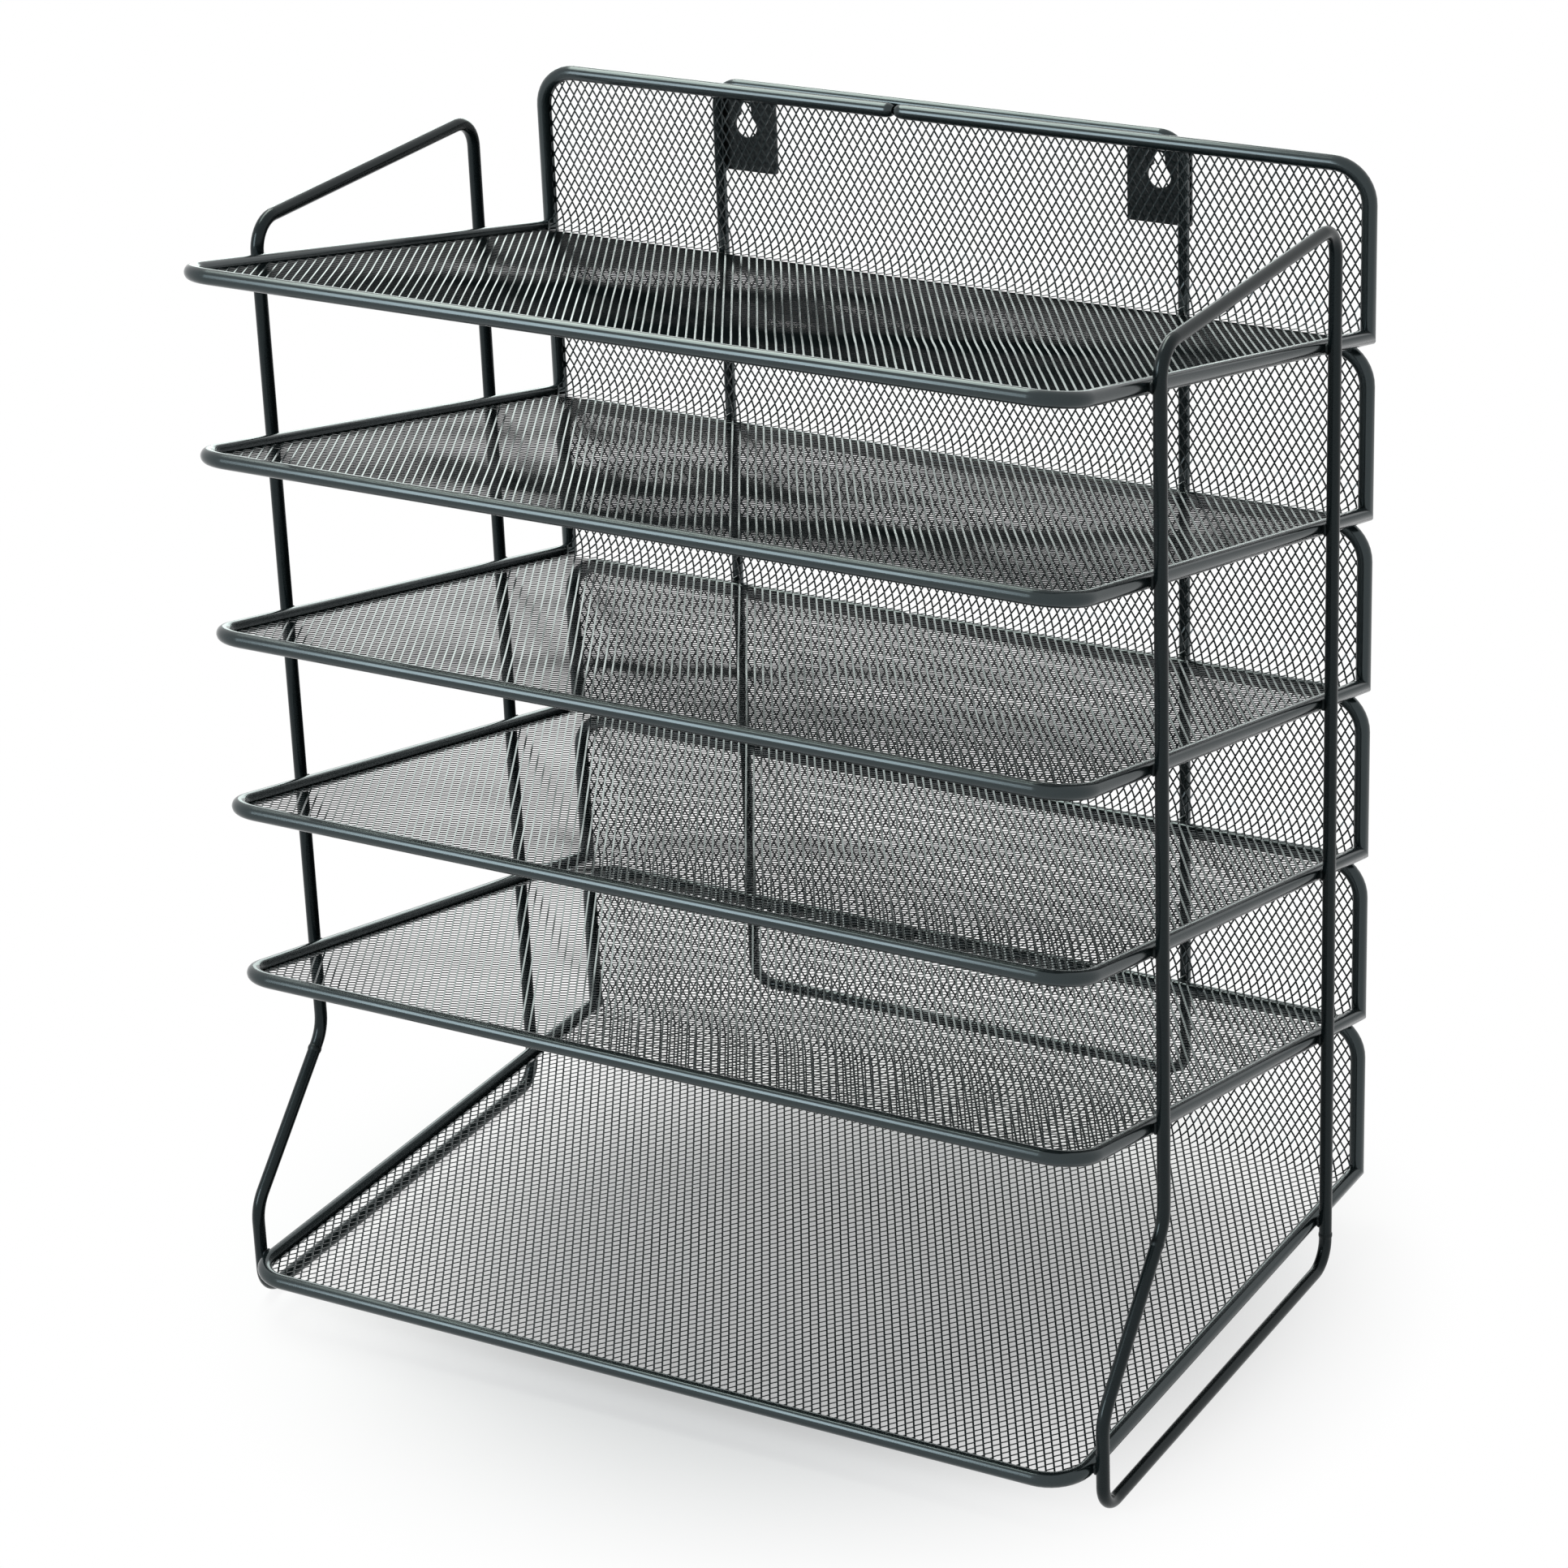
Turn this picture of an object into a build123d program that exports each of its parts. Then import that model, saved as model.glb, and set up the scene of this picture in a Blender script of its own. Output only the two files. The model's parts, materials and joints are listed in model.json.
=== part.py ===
from build123d import *
import os
from math import cos, floor, radians, sin, tan

# Six-tier document sorter of black steel. Five tilted trays and a level bottom tray, each a bent sheet
# of expanded mesh in a rolled rim, are welded between two bent-rod side frames. A rod loop with two
# keyhole plates stands behind the backs. Lengths are in millimetres: X right, Y to the back, Z up.

# Trays
TRAY_COUNT = 6
TRAY_WIDTH = 340.0  # between the centres of the side rails
TRAY_DEPTH = 246.0  # along the base of a tilted tray, from the front rail to the back corner
BOTTOM_DEPTH = 250.0  # the same on the level bottom tray
TRAY_TILT = 12.5  # degrees by which a tilted base rises to the front
TRAY_PITCH = 67.0  # from one tray's back corner to the next
BOTTOM_HEIGHT = 19.3  # of the bottom tray's rails over the floor
BACK_CLEARANCE = 4.5  # of a tray's top rail under the next tray's back corner

# Rolled rim of a tray
RIM_DIAMETER = 5.6
RIM_WALL = 0.8
RIM_CORNER_RADIUS = 14.0
SEAM_OFFSET = -18.0  # of the rim's butt seam from the middle of the top rail
SEAM_GAP = 1.4

# Mesh sheet of a tray
SHEET_THICKNESS = 0.5
SHEET_BEND_RADIUS = 9.0  # between the base and the back, at the middle of the sheet
SLIT_CLEARANCE = 0.1  # on each face of the sheet in the rim's slit
SHEET_GRIP = 1.4  # how far the sheet's edge reaches in past the rim's inner side
NET_WIDTH = 20.0  # from one diamond of the mesh to the next, across
NET_LENGTH = 28.0  # the same, along the diamonds
NET_OPEN_SHARE = 0.8
NET_BORDER = 3.0  # plain strip between the rim and the diamonds

# Side frames
ROD_DIAMETER = 4.8
ROD_GAP = 0.2  # between a welded rod and the rail that it crosses
LEG_FRONT_SETBACK = 55.3  # of the front legs behind the tilted trays' front rails
LEG_REAR_SETBACK = 42.5  # of the rear legs before the back corners
FRAME_RISE = 56.7  # top of the side frames over the top tray's back corner
FRAME_BEND_RADIUS = 11.0
KINK_DROP = 36.3  # of the front legs' forward turn under the lowest tilted tray's side rails
KINK_BEND_RADIUS = 16.0
FOOT_SETBACK = 1.0  # of the feet behind the bottom rim's front corners
FOOT_BEND_RISE = 19.7  # of the slanted legs' turn down to the feet over the bottom tray
FOOT_RADIUS = 10.0
SPLICE_STRAIGHT = 1.8  # straight rod between a bend and the butt joint of hoop and foot rail

# Hanging loop and its plates
LOOP_DIAMETER = 4.3
LOOP_WIDTH = 192.0  # between the centres of the uprights
LOOP_RISE = 1.3  # of the loop's top bar over the top tray's top rail
LOOP_BOTTOM_RISE = 23.7  # of the bottom bar over the bottom tray
LOOP_CORNER_RADIUS = 9.0
PLATE_WIDTH = 25.5
PLATE_HEIGHT = 30.5
PLATE_DROP = 3.5  # of the plates' top edge under the middle of the loop's top bar
PLATE_THICKNESS = 1.0
PLATE_CORNER_RADIUS = 1.0
PLATE_GAP = 0.1
KEYHOLE_DROP = 12.8  # of the keyhole's round end under the plate's top edge
KEYHOLE_DIAMETER = 9.2
KEYHOLE_NECK_DIAMETER = 4.6
KEYHOLE_NECK_RISE = 6.7  # of the neck's end over the round end

# Weld beads
BEAD_DIAMETER = 3.4
BEAD_CLEARANCE = 0.03

# How far a cut or an extra length runs past what it meets
OVERRUN = 12.0

RIM_RADIUS = RIM_DIAMETER / 2
ROD_RADIUS = ROD_DIAMETER / 2
LOOP_RADIUS = LOOP_DIAMETER / 2
BEAD_RADIUS = BEAD_DIAMETER / 2
SLIT_WIDTH = SHEET_THICKNESS + 2 * SLIT_CLEARANCE
HALF_WIDTH = TRAY_WIDTH / 2
BACK_HEIGHT = TRAY_PITCH - BACK_CLEARANCE
TILT = radians(TRAY_TILT)

# The box around the whole sorter is centred on the origin, so the back corners follow from its reach
LOOP_SETBACK = RIM_RADIUS + ROD_GAP + LOOP_RADIUS
PLATE_SETBACK = LOOP_SETBACK + LOOP_RADIUS + PLATE_GAP
FRONT_REACH = BOTTOM_DEPTH + RIM_RADIUS
REAR_REACH = PLATE_SETBACK + PLATE_THICKNESS
BACK_Y = (FRONT_REACH - REAR_REACH) / 2
LOOP_Y = BACK_Y + LOOP_SETBACK
PLATE_Y = BACK_Y + PLATE_SETBACK

FRAME_X = HALF_WIDTH + RIM_RADIUS + ROD_GAP + ROD_RADIUS
LEG_FRONT_Y = BACK_Y - TRAY_DEPTH * cos(TILT) + LEG_FRONT_SETBACK
LEG_REAR_Y = BACK_Y - LEG_REAR_SETBACK
FOOT_Y = BACK_Y - BOTTOM_DEPTH + RIM_CORNER_RADIUS + FOOT_SETBACK
FOOT_BEND_Z = BOTTOM_HEIGHT + FOOT_BEND_RISE
TOP_CORNER_Z = BOTTOM_HEIGHT + (TRAY_COUNT - 1) * TRAY_PITCH
FRAME_TOP_Z = TOP_CORNER_Z + FRAME_RISE - ROD_RADIUS
LOOP_TOP_Z = TOP_CORNER_Z + BACK_HEIGHT + LOOP_RISE
PLATE_TOP_Z = LOOP_TOP_Z - PLATE_DROP
LOOP_BOTTOM_Z = BOTTOM_HEIGHT + LOOP_BOTTOM_RISE
SIDES = {"left": -1, "right": 1}


def corner_height(tray):
    """Height of a tray's back corner, with the trays counted from the top."""
    return BOTTOM_HEIGHT + (TRAY_COUNT - tray) * TRAY_PITCH


def tray_tilt(tray):
    return 0 if tray == TRAY_COUNT else TILT


def rail_height(tray, y):
    """Height of a tray's side rail at a place along the sorter."""
    return corner_height(tray) + (BACK_Y - y) * tan(tray_tilt(tray))


def panel_plane(tray, tilt):
    """Plane of a panel at the tray's back corner: local -Y runs away from the corner, inside the panel."""
    return Plane((0, BACK_Y, corner_height(tray)), x_dir=(1, 0, 0), z_dir=(0, sin(tilt), cos(tilt)))


def tray_planes(tray):
    return panel_plane(tray, tray_tilt(tray)), panel_plane(tray, radians(90))


def rim_leg(plane, length, mitre):
    """Half of a rim: a slit tube out along one side, round the far edge and back, cut on the mitre."""
    with BuildPart() as leg:
        with BuildLine(plane) as path:
            FilletPolyline(
                (HALF_WIDTH, OVERRUN),
                (HALF_WIDTH, -length),
                (-HALF_WIDTH, -length),
                (-HALF_WIDTH, OVERRUN),
                radius=RIM_CORNER_RADIUS,
            )
        start = plane.from_local_coords((HALF_WIDTH, OVERRUN, 0))
        with BuildSketch(Plane(start, x_dir=plane.x_dir, z_dir=-plane.y_dir)):
            Circle(RIM_RADIUS)
            Circle(RIM_RADIUS - RIM_WALL, mode=Mode.SUBTRACT)
            with Locations((-RIM_RADIUS, 0)):
                Rectangle(RIM_DIAMETER, SLIT_WIDTH, mode=Mode.SUBTRACT)
        sweep(path=path.wires()[0])
        split(bisect_by=mitre, keep=Keep.TOP)
    return leg.part


def tray_rim(tray, depth):
    """Rolled rim: the base's rails and the back's, mitred where they meet, with a seam in the top rail."""
    base, back = tray_planes(tray)
    forward = back.y_dir - base.y_dir
    base_leg = rim_leg(base, depth, Plane(base.origin, x_dir=(1, 0, 0), z_dir=forward))
    back_leg = rim_leg(back, BACK_HEIGHT, Plane(base.origin, x_dir=(1, 0, 0), z_dir=-forward))
    with BuildPart() as rim:
        add(base_leg)
        add(back_leg)
        with Locations((SEAM_OFFSET, BACK_Y, corner_height(tray) + BACK_HEIGHT)):
            Box(SEAM_GAP, RIM_DIAMETER + OVERRUN, RIM_DIAMETER + OVERRUN, mode=Mode.SUBTRACT)
    return rim.part


def net_places(width, length):
    """Centres of the diamonds in a panel, in staggered rows about its middle."""
    across = floor((width - NET_WIDTH * NET_OPEN_SHARE) / NET_WIDTH)
    rows = floor((length - NET_LENGTH * NET_OPEN_SHARE) / (NET_LENGTH / 2))
    places = []
    for row in range(rows + 1):
        count = across + 1 - row % 2
        for column in range(count):
            x = (column - (count - 1) / 2) * NET_WIDTH
            places.append((x, (row - rows / 2) * NET_LENGTH / 2))
    return places


def net_panel(plane, length, bend_length):
    """Flat panel of the sheet, one holed face from the end of its bend to its far edge inside the rim."""
    lower = plane.offset(-SHEET_THICKNESS / 2)
    inset = RIM_RADIUS - SHEET_GRIP
    half_width = HALF_WIDTH - inset
    far_edge = length - inset
    net_far = length - RIM_RADIUS - NET_BORDER
    net_span = 2 * (HALF_WIDTH - RIM_RADIUS - NET_BORDER)
    middle = -(bend_length + net_far) / 2
    diamonds = []
    for x, y in net_places(net_span, net_far - bend_length):
        points = [
            (x + NET_WIDTH * NET_OPEN_SHARE / 2, middle + y),
            (x, middle + y + NET_LENGTH * NET_OPEN_SHARE / 2),
            (x - NET_WIDTH * NET_OPEN_SHARE / 2, middle + y),
            (x, middle + y - NET_LENGTH * NET_OPEN_SHARE / 2),
        ]
        diamonds.append(Wire.make_polygon([lower.from_local_coords((*point, 0)) for point in points]))
    with BuildPart() as panel:
        with BuildLine(lower) as edge:
            FilletPolyline(
                (half_width, -bend_length),
                (half_width, -far_edge),
                (-half_width, -far_edge),
                (-half_width, -bend_length),
                radius=RIM_CORNER_RADIUS - inset,
            )
            Line((-half_width, -bend_length), (half_width, -bend_length))
        extrude(Face(edge.wires()[0], diamonds), amount=SHEET_THICKNESS, dir=plane.z_dir, clean=False)
    return panel.part


def sheet_bend(base, back, bend_length):
    """Plain bend of the sheet, which stays clear of the rim between the posts."""
    start = base.from_local_coords((0, -bend_length, 0))
    end = back.from_local_coords((0, -bend_length, 0))
    with BuildPart() as bend:
        with BuildSketch(Plane.YZ):
            with BuildLine():
                TangentArc((start.Y, start.Z), (end.Y, end.Z), tangent=(base.y_dir.Y, base.y_dir.Z))
            trace(line_width=SHEET_THICKNESS)
        extrude(amount=HALF_WIDTH - RIM_RADIUS - SLIT_CLEARANCE, both=True)
    return bend.part


def tray_mesh(tray, depth):
    """Mesh sheet: a net for the base and one for the back, with a plain bend between them."""
    base, back = tray_planes(tray)
    bend_length = SHEET_BEND_RADIUS * tan((radians(90) + tray_tilt(tray)) / 2)
    with BuildPart() as sheet:
        add(net_panel(base, depth, bend_length))
        add(sheet_bend(base, back, bend_length), clean=False)
        add(net_panel(back, BACK_HEIGHT, bend_length), clean=False)
    return sheet.part


def bent_rod(plane, points, radii, diameter):
    """Round rod through points of a plane, with a bend radius at each inner point."""
    with BuildPart() as rod:
        with BuildLine(plane) as path:
            FilletPolyline(*points, radius=radii)
        wire = path.wires()[0]
        with BuildSketch(Plane(wire @ 0, z_dir=wire % 0)):
            Circle(diameter / 2)
        sweep(path=wire)
    return rod.part


def side_frame(side):
    """Hoop and foot rail of one side frame, which meet end to end."""
    plane = Plane((side * FRAME_X, 0, 0), x_dir=(0, 1, 0), z_dir=(1, 0, 0))
    kink = (LEG_FRONT_Y, rail_height(TRAY_COUNT - 1, LEG_FRONT_Y) - KINK_DROP)
    foot_bend = (FOOT_Y, FOOT_BEND_Z)
    slant = (Vector(foot_bend) - Vector(kink)).normalized()
    turn = radians(slant.get_angle(Vector(0, -1)))
    reach = KINK_BEND_RADIUS * tan(turn / 2) + SPLICE_STRAIGHT
    front_splice = (kink[0] + slant.X * reach, kink[1] + slant.Y * reach)
    rear_splice = (LEG_REAR_Y, ROD_RADIUS + FOOT_RADIUS + SPLICE_STRAIGHT)
    hoop = bent_rod(
        plane,
        [rear_splice, (LEG_REAR_Y, FRAME_TOP_Z), (LEG_FRONT_Y, FRAME_TOP_Z), kink, front_splice],
        [FRAME_BEND_RADIUS, FRAME_BEND_RADIUS, KINK_BEND_RADIUS],
        ROD_DIAMETER,
    )
    foot_rail = bent_rod(
        plane,
        [front_splice, foot_bend, (FOOT_Y, ROD_RADIUS), (LEG_REAR_Y, ROD_RADIUS), rear_splice],
        [KINK_BEND_RADIUS, FOOT_RADIUS, FOOT_RADIUS],
        ROD_DIAMETER,
    )
    return hoop, foot_rail


def hanging_loop():
    """Closed rod loop behind the backs."""
    with BuildPart() as loop:
        with BuildLine(Plane((0, LOOP_Y, 0), x_dir=(1, 0, 0), z_dir=(0, -1, 0))) as path:
            half = LOOP_WIDTH / 2
            FilletPolyline(
                (half, LOOP_BOTTOM_Z),
                (half, LOOP_TOP_Z),
                (-half, LOOP_TOP_Z),
                (-half, LOOP_BOTTOM_Z),
                radius=LOOP_CORNER_RADIUS,
                close=True,
            )
        wire = path.wires()[0]
        with BuildSketch(Plane(wire @ 0, z_dir=wire % 0)):
            Circle(LOOP_RADIUS)
        sweep(path=wire)
    return loop.part


def hanger_plate(side):
    """Keyhole plate in one top corner of the loop, on its wall side."""
    outer = LOOP_WIDTH / 2 + LOOP_RADIUS
    middle = side * (outer - PLATE_WIDTH / 2)
    with BuildPart() as plate:
        with BuildSketch(Plane((middle, PLATE_Y, PLATE_TOP_Z), x_dir=(1, 0, 0), z_dir=(0, -1, 0))):
            with Locations((0, -PLATE_HEIGHT / 2)):
                blank = Rectangle(PLATE_WIDTH, PLATE_HEIGHT)
            corners = blank.vertices().group_by(Axis.Y)
            top = corners[-1].sort_by(Axis.X, reverse=side < 0)
            fillet([*corners[0], top[0]], radius=PLATE_CORNER_RADIUS)
            fillet(top[-1], radius=LOOP_CORNER_RADIUS)
            with Locations((0, -KEYHOLE_DROP)):
                Circle(KEYHOLE_DIAMETER / 2, mode=Mode.SUBTRACT)
            with Locations((0, -KEYHOLE_DROP + KEYHOLE_NECK_RISE)):
                Circle(KEYHOLE_NECK_DIAMETER / 2, mode=Mode.SUBTRACT)
            with Locations((0, -KEYHOLE_DROP + KEYHOLE_NECK_RISE / 2)):
                Rectangle(KEYHOLE_NECK_DIAMETER, KEYHOLE_NECK_RISE, mode=Mode.SUBTRACT)
        extrude(amount=-PLATE_THICKNESS)
    return plate.part


def weld_beads(crossings, rod_radius):
    """Beads where rods cross rails: each is (rail point, rail direction, rod point), the rods upright."""
    with BuildPart() as beads:
        for rail, direction, rod in crossings:
            reach = rod - rail
            middle = Plane((rail + rod) / 2, z_dir=reach)
            with BuildSketch(middle):
                Circle(BEAD_RADIUS)
            extrude(amount=reach.length / 2, both=True)
        for rail, direction, rod in crossings:
            with BuildSketch(Plane(rail, z_dir=direction)):
                Circle(RIM_RADIUS + BEAD_CLEARANCE)
            extrude(amount=BEAD_DIAMETER, both=True, mode=Mode.SUBTRACT)
            with BuildSketch(Plane(rod)):
                Circle(rod_radius + BEAD_CLEARANCE)
            extrude(amount=BEAD_DIAMETER, both=True, mode=Mode.SUBTRACT)
    return beads.part


def frame_crossings(side):
    """Where one side frame's legs cross the trays' side rails."""
    crossings = []
    for tray in range(1, TRAY_COUNT + 1):
        front_y = FOOT_Y if tray == TRAY_COUNT else LEG_FRONT_Y
        for y in (front_y, LEG_REAR_Y):
            z = rail_height(tray, y)
            direction = tray_planes(tray)[0].y_dir
            crossings.append((Vector(side * HALF_WIDTH, y, z), direction, Vector(side * FRAME_X, y, z)))
    return crossings


def loop_crossings():
    """Where the loop's uprights cross the trays' top rails."""
    crossings = []
    for tray in range(2, TRAY_COUNT + 1):
        z = corner_height(tray) + BACK_HEIGHT
        for side in SIDES.values():
            x = side * LOOP_WIDTH / 2
            crossings.append((Vector(x, BACK_Y, z), Vector(1, 0, 0), Vector(x, LOOP_Y, z)))
    return crossings


def save(part, name):
    part.label = name
    export_step(part, f"parts/{name}.step")


os.makedirs("parts", exist_ok=True)
for tray_number in range(1, TRAY_COUNT + 1):
    tray_depth = BOTTOM_DEPTH if tray_number == TRAY_COUNT else TRAY_DEPTH
    save(tray_rim(tray_number, tray_depth), f"tray_{tray_number}_rim")
    save(tray_mesh(tray_number, tray_depth), f"tray_{tray_number}_mesh")
for side_name, side_sign in SIDES.items():
    side_hoop, side_foot_rail = side_frame(side_sign)
    save(side_hoop, f"{side_name}_hoop")
    save(side_foot_rail, f"{side_name}_foot_rail")
    save(weld_beads(frame_crossings(side_sign), ROD_RADIUS), f"{side_name}_frame_welds")
    save(hanger_plate(side_sign), f"{side_name}_hanger_plate")
save(hanging_loop(), "hanging_loop")
save(weld_beads(loop_crossings(), LOOP_RADIUS), "hanging_loop_welds")
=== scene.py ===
import json
from math import cos, pi, radians, sin, tan

import bpy
import numpy as np
from mathutils import Matrix, Vector


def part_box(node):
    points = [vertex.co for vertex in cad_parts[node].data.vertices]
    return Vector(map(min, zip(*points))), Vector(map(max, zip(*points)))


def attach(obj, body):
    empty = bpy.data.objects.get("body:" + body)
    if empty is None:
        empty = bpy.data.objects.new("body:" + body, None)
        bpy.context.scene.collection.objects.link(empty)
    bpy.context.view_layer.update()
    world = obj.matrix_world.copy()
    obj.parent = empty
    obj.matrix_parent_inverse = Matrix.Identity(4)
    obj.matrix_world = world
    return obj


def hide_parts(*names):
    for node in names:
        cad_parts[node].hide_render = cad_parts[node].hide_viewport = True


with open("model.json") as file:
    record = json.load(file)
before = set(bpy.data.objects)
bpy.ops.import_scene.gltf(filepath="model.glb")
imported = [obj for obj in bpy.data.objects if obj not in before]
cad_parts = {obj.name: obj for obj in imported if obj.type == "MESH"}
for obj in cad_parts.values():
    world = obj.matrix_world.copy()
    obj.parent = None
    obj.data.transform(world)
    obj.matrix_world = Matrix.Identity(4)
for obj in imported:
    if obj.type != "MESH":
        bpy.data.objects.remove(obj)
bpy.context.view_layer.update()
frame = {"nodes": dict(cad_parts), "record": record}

# Black steel document sorter. Lengths are in metres: X right, Y to the back, Z up.
X_AXIS = Vector((1, 0, 0))
Y_AXIS = Vector((0, 1, 0))
Z_AXIS = Vector((0, 0, 1))

# Trays, counted from the top, and their bent sheets; the lowest tray is level
TRAY_COUNT = 6
TRAY_TILT = radians(12.5)
SHEET_BEND_RADIUS = 0.009
SHEET_GRIP = 0.0013  # how far the sheet's edge reaches into the rim

# Rim: a rolled tube whose slit holds the sheet
RIM_RADIUS = 0.0028
RIM_INNER_RADIUS = 0.0020
RIM_CORNER_RADIUS = 0.014
SLIT_WIDTH = 0.0007
CORNER_STEPS = 10
OUTER_STEPS = 30
INNER_STEPS = 18
RIM_SMOOTH_ANGLE = radians(40)

# Butt seam in a rim's top rail; the pinch is pairs of distance from the seam and share of the section
SEAM_OFFSET = -0.018
SEAM_GAP = 0.0009
SEAM_PINCH = ((0.0, 0.62), (0.0006, 0.78), (0.0016, 0.91), (0.0030, 0.98), (0.0048, 1.0))

# Weld lumps where rods cross rails
WELD_SPACING = 0.006
LUMP_REACH = 0.0024
LUMP_HALF_THICKNESS = 0.0011
LUMP_UNEVEN = 0.00025
LUMP_LOBES = 3
LUMP_TURN = 1000  # of the lobes, in radians for each metre of height
LUMP_STEPS = 8
LUMP_SIDES = 14
WELD_SMOOTH_ANGLE = radians(60)

# Collars at the rods' butt joints; the section is pairs of shares of the half width and the height
ROD_RADIUS = 0.0024
COLLAR_HALF_WIDTH = 0.0011
COLLAR_HEIGHT = 0.00022
COLLAR_SECTION = ((-1.0, -0.05), (-0.6, 0.7), (0.0, 1.0), (0.6, 0.7), (1.0, -0.05))
COLLAR_SIDES = 24
SAME_POINT_DIGITS = 5

# Expanded mesh: diamonds, longest from front to back, of strands that lean to one side
CELLS_ACROSS = 100
CELL_LENGTH = 0.00606
STRAND_WIDTH = 0.00064
STRAND_THICKNESS = 0.00036
STRAND_TWIST = 0.00027  # how far a strand's right edge stands up and its left edge hangs down

# Corners of the small diamond plate at each node, and the neighbours that its four edges face
RIGHT, FAR, LEFT, NEAR = range(4)
STRAND_STEPS = {(RIGHT, FAR): (1, 1), (FAR, LEFT): (-1, 1), (LEFT, NEAR): (-1, -1), (NEAR, RIGHT): (1, -1)}

# Sag and unevenness of a tray's base, with angles over half its width and over its length
BASE_SAG = 0.0022
WAVE_HEIGHT = 0.0010
WAVE_ACROSS = 2.3 * pi
WAVE_ALONG = 3.1 * pi
RIPPLE_HEIGHT = 0.0003
RIPPLE_ACROSS = 3.7 * pi
RIPPLE_ALONG = 7.4 * pi
RIPPLE_SLANT = 5

# Powder coats: colour, gloss, roughness, grain size, grain depth, and how much paler the grain's tips are
# painted, as a glint
COATS = {
    "rim": ((0.0055, 0.0095, 0.0105), 0.62, 0.17, 0.0007, 0.00001, 0.003),
    # The rod coat is the rim coat made darker and duller, as painted shade for rods that catch little of
    # the lamps
    "rod": ((0.0045, 0.0078, 0.0088), 0.25, 0.20, 0.0007, 0.00001, 0.003),
    "mesh": ((0.0085, 0.0140, 0.0150), 0.28, 0.20, 0.0006, 0.00001, 0.002),
    "plate": ((0.0050, 0.0068, 0.0072), 0.3, 0.42, 0.0012, 0.00015, 0.08),
    "weld": ((0.0045, 0.0060, 0.0066), 0.25, 0.42, 0.0008, 0.00006, 0.004),
}
# Cool tint painted onto the coats' reflections, standing in for the light of a cool surrounding
PAINTED_COOL_SHEEN_TINT = (0.80, 0.96, 1.0)
GRAIN_DETAIL = 4
GRAIN_RANGE = (0.35, 0.72)
GRAIN_HOLLOW_SHADE_SHARE = 0.8  # of the coat's colour, painted shade in the hollows of the grain
GRAIN_STRENGTH = 0.4
CLOUD_SIZE = 0.03
CLOUD_DETAIL = 3
CLOUD_RANGE = (0.3, 0.7)
CLOUD_ROUGHNESS = (-0.03, 0.04)  # change of roughness between the clouds' ends

# Pale floor, which turns white further out, and soft light from all round
FLOOR_REACH = 3.0
FLOOR_COLOR = (0.9, 0.9, 0.9)
FLOOR_ROUGHNESS = 0.8
FLOOR_GLOSS = 0.1
FADE_START = 0.08
FADE_END = 0.25
NEAR_WHITE_SHARE = 0.40
WORLD_TINT = (0.93, 1.0, 0.99)
WORLD_STRENGTH = 0.2

# Lamps: name, place, direction of the long side, short and long side, watts, tint
LAMP_TARGET = (0, 0, 0.25)
LAMPS = (
    ("over", (-0.87, 0.44, 1.88), (0, 0.97, -0.26), (0.7, 1.7), 27.0, (0.95, 1.0, 0.90)),
    ("front", (-0.82, -1.42, 0.98), (0, 0.45, 0.89), (0.7, 1.0), 18.0, (0.89, 0.96, 1.0)),
    ("back", (-0.85, 1.47, 0.46), (0.87, 0.5, 0), (0.45, 1.1), 4.2, (0.86, 1.0, 0.95)),
)

# Camera
CAMERA_PLACE = (0.7971, -1.3903, 0.9073)
CAMERA_RIGHT = (0.87334, 0.48580, -0.03590)
CAMERA_UP = (-0.16787, 0.36932, 0.91404)
CAMERA_BACK = (0.45729, -0.79222, 0.40408)
CAMERA_CLIP_START = 0.05
LENS_MM = 110.66
SENSOR_MM = 36.0


def box_of(node):
    """Lowest and highest corner of a node's box."""
    low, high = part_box(node)
    return Vector(low), Vector(high)


def back_height():
    """Height of a tray's upright back between the rim's middle lines, the same for all trays."""
    low, high = box_of(f"tray_{TRAY_COUNT}_rim")
    return high.z - low.z - 2 * RIM_RADIUS


class Tray:
    """Where one tray's sheet lies: its half width, back corner, depth and tilt, read from its rim."""

    def __init__(self, number):
        low, high = box_of(f"tray_{number}_rim")
        self.number = number
        self.tilt = 0 if number == TRAY_COUNT else TRAY_TILT
        self.half_width = high.x - RIM_RADIUS
        self.back_y = high.y - RIM_RADIUS
        self.back_height = back_height()
        self.corner_z = high.z - RIM_RADIUS - self.back_height
        self.depth = (self.back_y - low.y - RIM_RADIUS) / cos(self.tilt)
        self.bend_length = SHEET_BEND_RADIUS * tan((pi / 2 + self.tilt) / 2)
        self.base_length = self.depth - self.bend_length
        self.arc_length = SHEET_BEND_RADIUS * (pi / 2 + self.tilt)
        self.length = self.base_length + self.arc_length + self.back_height - self.bend_length

    def surface(self, along):
        """Places and upward normals, in Y and Z, at distances along the sheet from the front rail."""
        inward = np.array([cos(self.tilt), -sin(self.tilt)])
        normal = np.array([sin(self.tilt), cos(self.tilt)])
        corner = np.array([self.back_y, self.corner_z])
        base = corner - inward * (self.depth - along[:, None])
        angle = np.clip((along - self.base_length) / SHEET_BEND_RADIUS, 0, pi / 2 + self.tilt)[:, None]
        centre = corner - inward * self.bend_length + normal * SHEET_BEND_RADIUS
        radial = inward * np.sin(angle) - normal * np.cos(angle)
        arc = centre + SHEET_BEND_RADIUS * radial
        rise = along - self.base_length - self.arc_length
        back = np.stack([np.full_like(along, self.back_y), self.corner_z + self.bend_length + rise], 1)
        on_base = (along <= self.base_length)[:, None]
        on_back = (rise >= 0)[:, None]
        places = np.where(on_base, base, np.where(on_back, back, arc))
        return places, -radial


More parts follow.
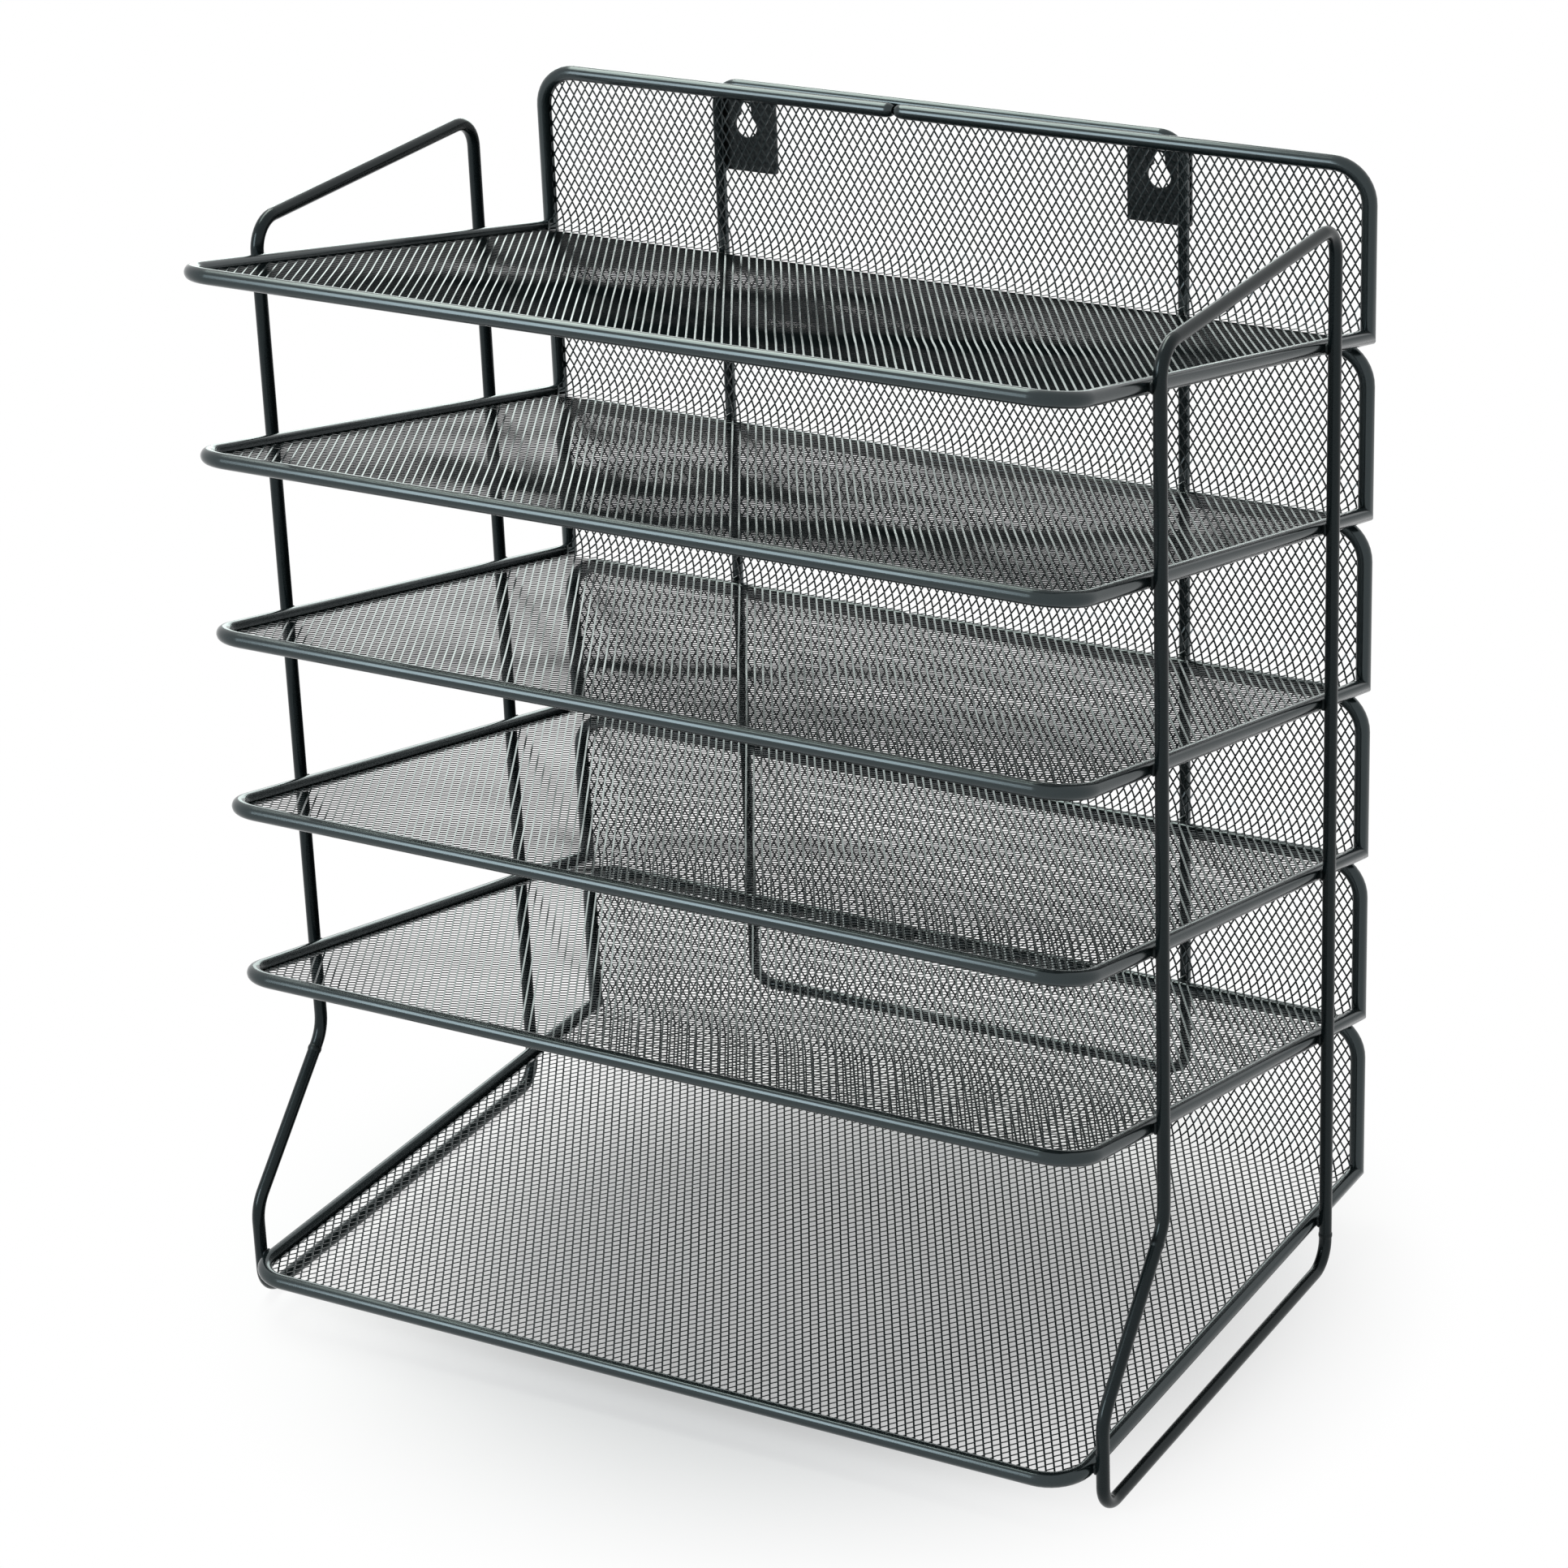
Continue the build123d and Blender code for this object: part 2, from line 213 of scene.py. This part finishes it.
def lattice(tray, cell_width):
    """Nodes of the mesh's strands inside the rim, as whole numbers across and along, with their places."""
    half_across = tray.half_width - RIM_RADIUS + SHEET_GRIP
    first = RIM_RADIUS - SHEET_GRIP
    last = tray.length - first
    rows = int((last - first) / (CELL_LENGTH / 2))
    start = (first + last - rows * CELL_LENGTH / 2) / 2
    nodes = {}
    for row in range(rows + 1):
        along = start + row * CELL_LENGTH / 2
        for column in range(-CELLS_ACROSS, CELLS_ACROSS + 1):
            if (column + row) % 2:
                continue
            across = column * cell_width / 2
            if abs(across) <= half_across:
                nodes[(column, row)] = (across, along)
    return nodes


def dish(tray, across, along):
    """How far the sheet hangs below its flat place, with a little unevenness, none at the rim."""
    share_across = across / tray.half_width
    share_along = np.clip(along / tray.base_length, 0, 1)
    hold = (1 - share_across ** 2) * np.sin(pi * share_along)
    wave_across = np.sin(WAVE_ACROSS * share_across + tray.number)
    wave_along = np.sin(WAVE_ALONG * share_along + 2 * tray.number)
    ripple_across = np.sin(RIPPLE_ACROSS * share_across + RIPPLE_SLANT * share_along + tray.number)
    ripple_along = np.sin(RIPPLE_ALONG * share_along + tray.number)
    uneven = WAVE_HEIGHT * (wave_across * wave_along) + RIPPLE_HEIGHT * (ripple_across * ripple_along)
    return -BASE_SAG * hold * np.sin(pi * share_along) + uneven * hold


def plate_corners(tray, middles, cell_width):
    """Corners of all nodes' plates: right, far, left and near ones in turn, first above and then below."""
    side = np.hypot(cell_width / 2, CELL_LENGTH / 2)
    half_across = STRAND_WIDTH / 2 * side / (CELL_LENGTH / 2)
    half_along = STRAND_WIDTH / 2 * side / (cell_width / 2)
    shifts = ((half_across, 0, 1), (0, half_along, 0), (-half_across, 0, -1), (0, -half_along, 0))
    corners = []
    for face in (0.5, -0.5):
        for shift_across, shift_along, twist in shifts:
            across = middles[:, 0] + shift_across
            along = middles[:, 1] + shift_along
            places, normals = tray.surface(along)
            height = face * STRAND_THICKNESS + twist * STRAND_TWIST + dish(tray, across, along)
            yz = places + normals * height[:, None]
            corners.append(np.stack([across, yz[:, 0], yz[:, 1]], 1))
    return np.concatenate(corners).tolist()


def strand_faces(nodes):
    """Faces of the plates, of the strands between neighbours, and of the plates' edges that have none."""
    index = {key: place for place, key in enumerate(nodes)}

    def corners(node, places, lower):
        return [(4 * lower + place) * len(index) + node for place in places]

    faces = []
    for (column, row), node in index.items():
        faces.append(corners(node, (RIGHT, FAR, LEFT, NEAR), 0))
        faces.append(corners(node, (NEAR, LEFT, FAR, RIGHT), 1))
        for edge, (step_across, step_along) in STRAND_STEPS.items():
            upper = corners(node, edge, 0)
            lower = corners(node, edge, 1)
            other = index.get((column + step_across, row + step_along))
            if other is None:
                faces.append([upper[0], lower[0], lower[1], upper[1]])
            elif step_along > 0:
                other_edge = [(place + 2) % 4 for place in edge[::-1]]
                other_upper = corners(other, other_edge, 0)
                other_lower = corners(other, other_edge, 1)
                faces.append([upper[0], other_upper[0], other_upper[1], upper[1]])
                faces.append([lower[0], lower[1], other_lower[1], other_lower[0]])
                faces.append([upper[0], lower[0], other_lower[0], other_upper[0]])
                faces.append([upper[1], other_upper[1], other_lower[1], lower[1]])
    return faces


def expanded_mesh(tray):
    """Sheet of one tray: a lattice of leaning strands, bent up at the back."""
    cell_width = 2 * tray.half_width / CELLS_ACROSS
    nodes = lattice(tray, cell_width)
    vertices = plate_corners(tray, np.array(list(nodes.values())), cell_width)
    piece = new_piece(f"tray_{tray.number}_expanded_mesh", vertices, strand_faces(nodes))
    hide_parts(f"tray_{tray.number}_mesh")
    return piece


def new_piece(name, vertices, faces):
    """Mesh piece that rides on the sorter's one body."""
    mesh = bpy.data.meshes.new(name)
    mesh.from_pydata([tuple(v) for v in vertices], [], faces)
    mesh.update()
    piece = bpy.data.objects.new(name, mesh)
    bpy.context.scene.collection.objects.link(piece)
    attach(piece, "root")
    return piece


def smooth(piece, angle):
    """Smooth shading, with edges that turn by more than the angle kept sharp."""
    piece.data.polygons.foreach_set("use_smooth", [True] * len(piece.data.polygons))
    piece.data.set_sharp_from_angle(angle=angle)


def rolled_section():
    """Section of the rolled rim, as pairs: towards the sheet, which its slit faces, and square to it."""
    outer_gap = np.arcsin(SLIT_WIDTH / 2 / RIM_RADIUS)
    inner_gap = np.arcsin(SLIT_WIDTH / 2 / RIM_INNER_RADIUS)
    outer = np.linspace(outer_gap, 2 * pi - outer_gap, OUTER_STEPS)
    inner = np.linspace(2 * pi - inner_gap, inner_gap, INNER_STEPS)
    points = [(RIM_RADIUS * cos(a), RIM_RADIUS * sin(a)) for a in outer]
    return points + [(RIM_INNER_RADIUS * cos(a), RIM_INNER_RADIUS * sin(a)) for a in inner]


def corner_arc(centre_x, centre_run):
    """Points inside the rounded right corner of a panel, from its outer edge round to its side."""
    points = []
    for step in range(1, CORNER_STEPS):
        angle = pi / 2 - pi / 2 * step / CORNER_STEPS
        x = centre_x + RIM_CORNER_RADIUS * cos(angle)
        run = centre_run + RIM_CORNER_RADIUS * sin(angle)
        points.append((x, run))
    return points


def rim_path(tray):
    """Middle line of a rim and its pinch, from the seam round the back, the base and the back again."""
    top = tray.back_height
    width = tray.half_width
    near_x = width - RIM_CORNER_RADIUS
    near_top = top - RIM_CORNER_RADIUS
    near_front = tray.depth - RIM_CORNER_RADIUS
    seam_right = SEAM_OFFSET + SEAM_GAP / 2
    seam_left = SEAM_OFFSET - SEAM_GAP / 2

    def back(x, run):
        return Vector((x, tray.back_y, tray.corner_z + run))

    def base(x, run):
        return Vector((x, tray.back_y - run * cos(tray.tilt), tray.corner_z + run * sin(tray.tilt)))

    post = [(near_x, top), *corner_arc(near_x, near_top), (width, near_top), (width, 0)]
    side = [(near_x, tray.depth), *corner_arc(near_x, near_front), (width, near_front)]
    points = [(back(seam_right + along, top), scale) for along, scale in SEAM_PINCH]
    points += [(back(x, run), 1.0) for x, run in post]
    points += [(base(x, run), 1.0) for x, run in side[::-1]]
    points += [(base(-x, run), 1.0) for x, run in [*side, (width, 0)]]
    points += [(back(-x, run), 1.0) for x, run in post[-2::-1]]
    points += [(back(seam_left - along, top), scale) for along, scale in SEAM_PINCH[::-1]]
    return points


def swept(path, section, axes):
    """Section swept along a path of points and scales, mitred at each point, with both ends closed."""
    points = [point for point, scale in path]
    ring = [points[0] + axes[0] * u + axes[1] * v for u, v in section]
    vertices = []
    for place, (point, scale) in enumerate(path):
        if place:
            before = (point - points[place - 1]).normalized()
            after = (points[min(place + 1, len(points) - 1)] - point).normalized()
            plane = before + after
            ring = [v + before * ((point - v).dot(plane) / before.dot(plane)) for v in ring]
        vertices += [point + (v - point) * scale for v in ring]
    return vertices, ring_faces(0, len(path), len(section))


def ring_faces(first, rings, sides):
    """Faces between rings of points that follow each other, with both ends closed."""
    faces = []
    for ring in range(rings - 1):
        for side in range(sides):
            here = first + ring * sides + side
            beside = first + ring * sides + (side + 1) % sides
            faces.append((here, beside, beside + sides, here + sides))
    last = first + (rings - 1) * sides
    faces.append(tuple(range(first, first + sides))[::-1])
    faces.append(tuple(range(last, last + sides)))
    return faces


def rolled_rim(tray):
    """Rim of one tray: a slit tube, mitred at the back corners, with pinched ends at its seam."""
    vertices, faces = swept(rim_path(tray), rolled_section(), (-Z_AXIS, Y_AXIS))
    piece = new_piece(f"tray_{tray.number}_rolled_rim", vertices, faces)
    smooth(piece, RIM_SMOOTH_ANGLE)
    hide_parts(f"tray_{tray.number}_rim")
    return piece


def clusters(points, spacing):
    """Middles of groups of points that lie closer together than the spacing."""
    groups = []
    for point in points:
        for group in groups:
            if (group[0] - point).length < spacing:
                group.append(point)
                break
        else:
            groups.append([point])
    return [sum(group, Vector()) / len(group) for group in groups]


def node_points(node):
    """Points of a node's solid."""
    return [vertex.co.copy() for vertex in frame["nodes"][node].data.vertices]


def lump_points(middle, across):
    """Rings of a lumpy weld bead, a flattened ball around the spot where a rod touches a rail."""
    first_axis, second_axis = [axis for axis in (X_AXIS, Y_AXIS, Z_AXIS) if axis != across]
    points = []
    for step in range(1, LUMP_STEPS):
        polar = pi * step / LUMP_STEPS
        for side in range(LUMP_SIDES):
            turn = 2 * pi * side / LUMP_SIDES
            reach = LUMP_REACH + LUMP_UNEVEN * sin(LUMP_LOBES * turn + LUMP_TURN * middle.z)
            spread = first_axis * cos(turn) + second_axis * sin(turn)
            points.append(middle + across * LUMP_HALF_THICKNESS * cos(polar) + spread * reach * sin(polar))
    return points


def collar_points(middle, direction):
    """Rings of a low band of weld around a rod's butt joint."""
    second_axis = direction.cross(X_AXIS)
    points = []
    for along, height in COLLAR_SECTION:
        radius = ROD_RADIUS + height * COLLAR_HEIGHT
        for side in range(COLLAR_SIDES):
            turn = 2 * pi * side / COLLAR_SIDES
            spread = X_AXIS * cos(turn) + second_axis * sin(turn)
            points.append(middle + direction * along * COLLAR_HALF_WIDTH + spread * radius)
    return points


def weld_piece(node, across, joints):
    """Weld lumps that stand for a node's beads, with collars at the butt joints given."""
    vertices = []
    faces = []
    for middle in clusters(node_points(node), WELD_SPACING):
        faces += ring_faces(len(vertices), LUMP_STEPS - 1, LUMP_SIDES)
        vertices += lump_points(middle, across)
    for middle, direction in joints:
        faces += ring_faces(len(vertices), len(COLLAR_SECTION), COLLAR_SIDES)
        vertices += collar_points(middle, direction)
    piece = new_piece(node.replace("welds", "weld_lumps"), vertices, faces)
    smooth(piece, WELD_SMOOTH_ANGLE)
    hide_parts(node)
    return piece


def butt_joints(side):
    """Middles and directions of a side's butt joints, where hoop and foot rail share a ring of points."""

    def rounded(point):
        return tuple(round(v, SAME_POINT_DIGITS) for v in point)

    reach = 2 * WELD_SPACING
    rail_points = {rounded(point) for point in node_points(f"{side}_foot_rail")}
    shared = [point for point in node_points(f"{side}_hoop") if rounded(point) in rail_points]
    joints = []
    for middle in clusters(shared, reach):
        ring = [point - middle for point in shared if (point - middle).length < reach]
        upright = max(ring, key=lambda v: abs(v.y))
        joints.append((middle, X_AXIS.cross(upright).normalized()))
    return joints


def powder_coat(name, color, gloss, roughness, grain_size, grain_depth, tip_glint):
    """Black satin powder coat with a fine orange peel and cloudy gloss; its colour is painted paler on the
    grain's tips, as glints, and darker in its hollows, as shade.
    """
    material = bpy.data.materials.new(name)
    material.use_nodes = True
    nodes = material.node_tree.nodes
    links = material.node_tree.links
    shader = nodes["Principled BSDF"]
    shader.inputs["Specular IOR Level"].default_value = gloss
    # The reflections take the painted cool tint
    shader.inputs["Specular Tint"].default_value = (*PAINTED_COOL_SHEEN_TINT, 1)
    place = nodes.new("ShaderNodeTexCoord")
    grain = nodes.new("ShaderNodeTexNoise")
    grain.inputs["Scale"].default_value = 1 / grain_size
    grain.inputs["Detail"].default_value = GRAIN_DETAIL
    cloud = nodes.new("ShaderNodeTexNoise")
    cloud.inputs["Scale"].default_value = 1 / CLOUD_SIZE
    cloud.inputs["Detail"].default_value = CLOUD_DETAIL
    links.new(place.outputs["Object"], grain.inputs["Vector"])
    links.new(place.outputs["Object"], cloud.inputs["Vector"])
    # The grain's tips are painted paler, as glints, and its hollows darker, as shade
    grain_glint_and_shade = nodes.new("ShaderNodeValToRGB")
    low, high = grain_glint_and_shade.color_ramp.elements
    low.position = GRAIN_RANGE[0]
    low.color = (*[GRAIN_HOLLOW_SHADE_SHARE * c for c in color], 1)
    high.position = GRAIN_RANGE[1]
    high.color = (*[c + tip_glint for c in color], 1)
    links.new(grain.outputs["Fac"], grain_glint_and_shade.inputs["Fac"])
    links.new(grain_glint_and_shade.outputs["Color"], shader.inputs["Base Color"])
    cloudy = nodes.new("ShaderNodeMapRange")
    cloudy.inputs["From Min"].default_value = CLOUD_RANGE[0]
    cloudy.inputs["From Max"].default_value = CLOUD_RANGE[1]
    cloudy.inputs["To Min"].default_value = roughness + CLOUD_ROUGHNESS[0]
    cloudy.inputs["To Max"].default_value = roughness + CLOUD_ROUGHNESS[1]
    links.new(cloud.outputs["Fac"], cloudy.inputs["Value"])
    links.new(cloudy.outputs["Result"], shader.inputs["Roughness"])
    bump = nodes.new("ShaderNodeBump")
    bump.inputs["Strength"].default_value = GRAIN_STRENGTH
    bump.inputs["Distance"].default_value = grain_depth
    links.new(grain.outputs["Fac"], bump.inputs["Height"])
    links.new(bump.outputs["Normal"], shader.inputs["Normal"])
    return material


def dress(node, material):
    """Gives a node's solid one material."""
    piece = frame["nodes"][node]
    piece.data.materials.clear()
    piece.data.materials.append(material)


def add_camera():
    """Camera in front of the sorter, above it and to its right."""
    data = bpy.data.cameras.new("camera")
    data.sensor_width = SENSOR_MM
    data.lens = LENS_MM
    data.clip_start = CAMERA_CLIP_START
    camera = bpy.data.objects.new("camera", data)
    turn = Matrix((CAMERA_RIGHT, CAMERA_UP, CAMERA_BACK)).transposed().to_4x4()
    camera.matrix_world = Matrix.Translation(CAMERA_PLACE) @ turn
    bpy.context.scene.collection.objects.link(camera)
    bpy.context.scene.camera = camera


def seen_share(nodes, links):
    """Socket that is 1 for rays that show the background itself: direct, in gloss or through glass."""
    ray = nodes.new("ShaderNodeLightPath")
    direct = nodes.new("ShaderNodeMath")
    direct.operation = "MAXIMUM"
    links.new(ray.outputs["Is Camera Ray"], direct.inputs[0])
    links.new(ray.outputs["Is Glossy Ray"], direct.inputs[1])
    seen = nodes.new("ShaderNodeMath")
    seen.operation = "MAXIMUM"
    links.new(direct.outputs["Value"], seen.inputs[0])
    links.new(ray.outputs["Is Transmission Ray"], seen.inputs[1])
    return seen.outputs["Value"]


def floor_material():
    """Pale floor that keeps a soft shadow near the sorter and turns plain white further out."""
    material = bpy.data.materials.new("pale_floor")
    material.use_nodes = True
    nodes = material.node_tree.nodes
    links = material.node_tree.links
    shader = nodes["Principled BSDF"]
    shader.inputs["Base Color"].default_value = (*FLOOR_COLOR, 1)
    shader.inputs["Roughness"].default_value = FLOOR_ROUGHNESS
    shader.inputs["Specular IOR Level"].default_value = FLOOR_GLOSS
    white = nodes.new("ShaderNodeEmission")
    place = nodes.new("ShaderNodeTexCoord")
    distance = nodes.new("ShaderNodeVectorMath")
    distance.operation = "LENGTH"
    links.new(place.outputs["Object"], distance.inputs[0])
    fade = nodes.new("ShaderNodeMapRange")
    fade.interpolation_type = "SMOOTHSTEP"
    fade.inputs["From Min"].default_value = FADE_START
    fade.inputs["From Max"].default_value = FADE_END
    fade.inputs["To Min"].default_value = NEAR_WHITE_SHARE
    fade.inputs["To Max"].default_value = 1
    links.new(distance.outputs["Value"], fade.inputs["Value"])
    share = nodes.new("ShaderNodeMath")
    share.operation = "MULTIPLY"
    links.new(seen_share(nodes, links), share.inputs[0])
    links.new(fade.outputs["Result"], share.inputs[1])
    mix = nodes.new("ShaderNodeMixShader")
    links.new(share.outputs["Value"], mix.inputs["Fac"])
    links.new(shader.outputs["BSDF"], mix.inputs[1])
    links.new(white.outputs["Emission"], mix.inputs[2])
    links.new(mix.outputs["Shader"], nodes["Material Output"].inputs["Surface"])
    return material


def add_floor():
    """Square floor under the sorter."""
    mesh = bpy.data.meshes.new("floor")
    corners = [(-FLOOR_REACH, -FLOOR_REACH, 0), (FLOOR_REACH, -FLOOR_REACH, 0)]
    corners += [(FLOOR_REACH, FLOOR_REACH, 0), (-FLOOR_REACH, FLOOR_REACH, 0)]
    mesh.from_pydata(corners, [], [(0, 1, 2, 3)])
    mesh.materials.append(floor_material())
    floor = bpy.data.objects.new("floor", mesh)
    bpy.context.scene.collection.objects.link(floor)


def add_lamp(name, place, long_side, size, watts, tint):
    """Rectangular lamp that faces the sorter, with its long side turned to a direction."""
    data = bpy.data.lights.new(name, "AREA")
    data.shape = "RECTANGLE"
    data.size = size[0]
    data.size_y = size[1]
    data.energy = watts
    data.color = tint
    back = (Vector(place) - Vector(LAMP_TARGET)).normalized()
    along = Vector(long_side)
    along = (along - back * along.dot(back)).normalized()
    turn = Matrix((along.cross(back), along, back)).transposed().to_4x4()
    lamp = bpy.data.objects.new(name, data)
    lamp.matrix_world = Matrix.Translation(place) @ turn
    bpy.context.scene.collection.objects.link(lamp)


def add_world():
    """Soft light from all round, behind which the background is white."""
    world = bpy.data.worlds.new("studio")
    world.use_nodes = True
    nodes = world.node_tree.nodes
    links = world.node_tree.links
    soft = nodes["Background"]
    soft.inputs["Color"].default_value = (*WORLD_TINT, 1)
    soft.inputs["Strength"].default_value = WORLD_STRENGTH
    white = nodes.new("ShaderNodeBackground")
    white.inputs["Color"].default_value = (1, 1, 1, 1)
    mix = nodes.new("ShaderNodeMixShader")
    links.new(seen_share(nodes, links), mix.inputs["Fac"])
    links.new(soft.outputs["Background"], mix.inputs[1])
    links.new(white.outputs["Background"], mix.inputs[2])
    links.new(mix.outputs["Shader"], nodes["World Output"].inputs["Surface"])
    bpy.context.scene.world = world


bpy.context.scene.view_settings.view_transform = "Standard"
coats = {slot: powder_coat(f"{slot}_coat", *values) for slot, values in COATS.items()}
for subpart in frame["record"]["subparts"]:
    dress(subpart["node"], coats[subpart["material_slot"]])
# The loop takes the rim coat, not the rods' darker, duller copy with its painted shade
dress("hanging_loop", coats["rim"])
for tray_number in range(1, TRAY_COUNT + 1):
    tray = Tray(tray_number)
    expanded_mesh(tray).data.materials.append(coats["mesh"])
    rolled_rim(tray).data.materials.append(coats["rim"])
for side_name in ("left", "right"):
    lumps = weld_piece(f"{side_name}_frame_welds", X_AXIS, butt_joints(side_name))
    lumps.data.materials.append(coats["weld"])
weld_piece("hanging_loop_welds", Y_AXIS, []).data.materials.append(coats["weld"])
add_camera()
add_floor()
add_world()
for lamp in LAMPS:
    add_lamp(*lamp)
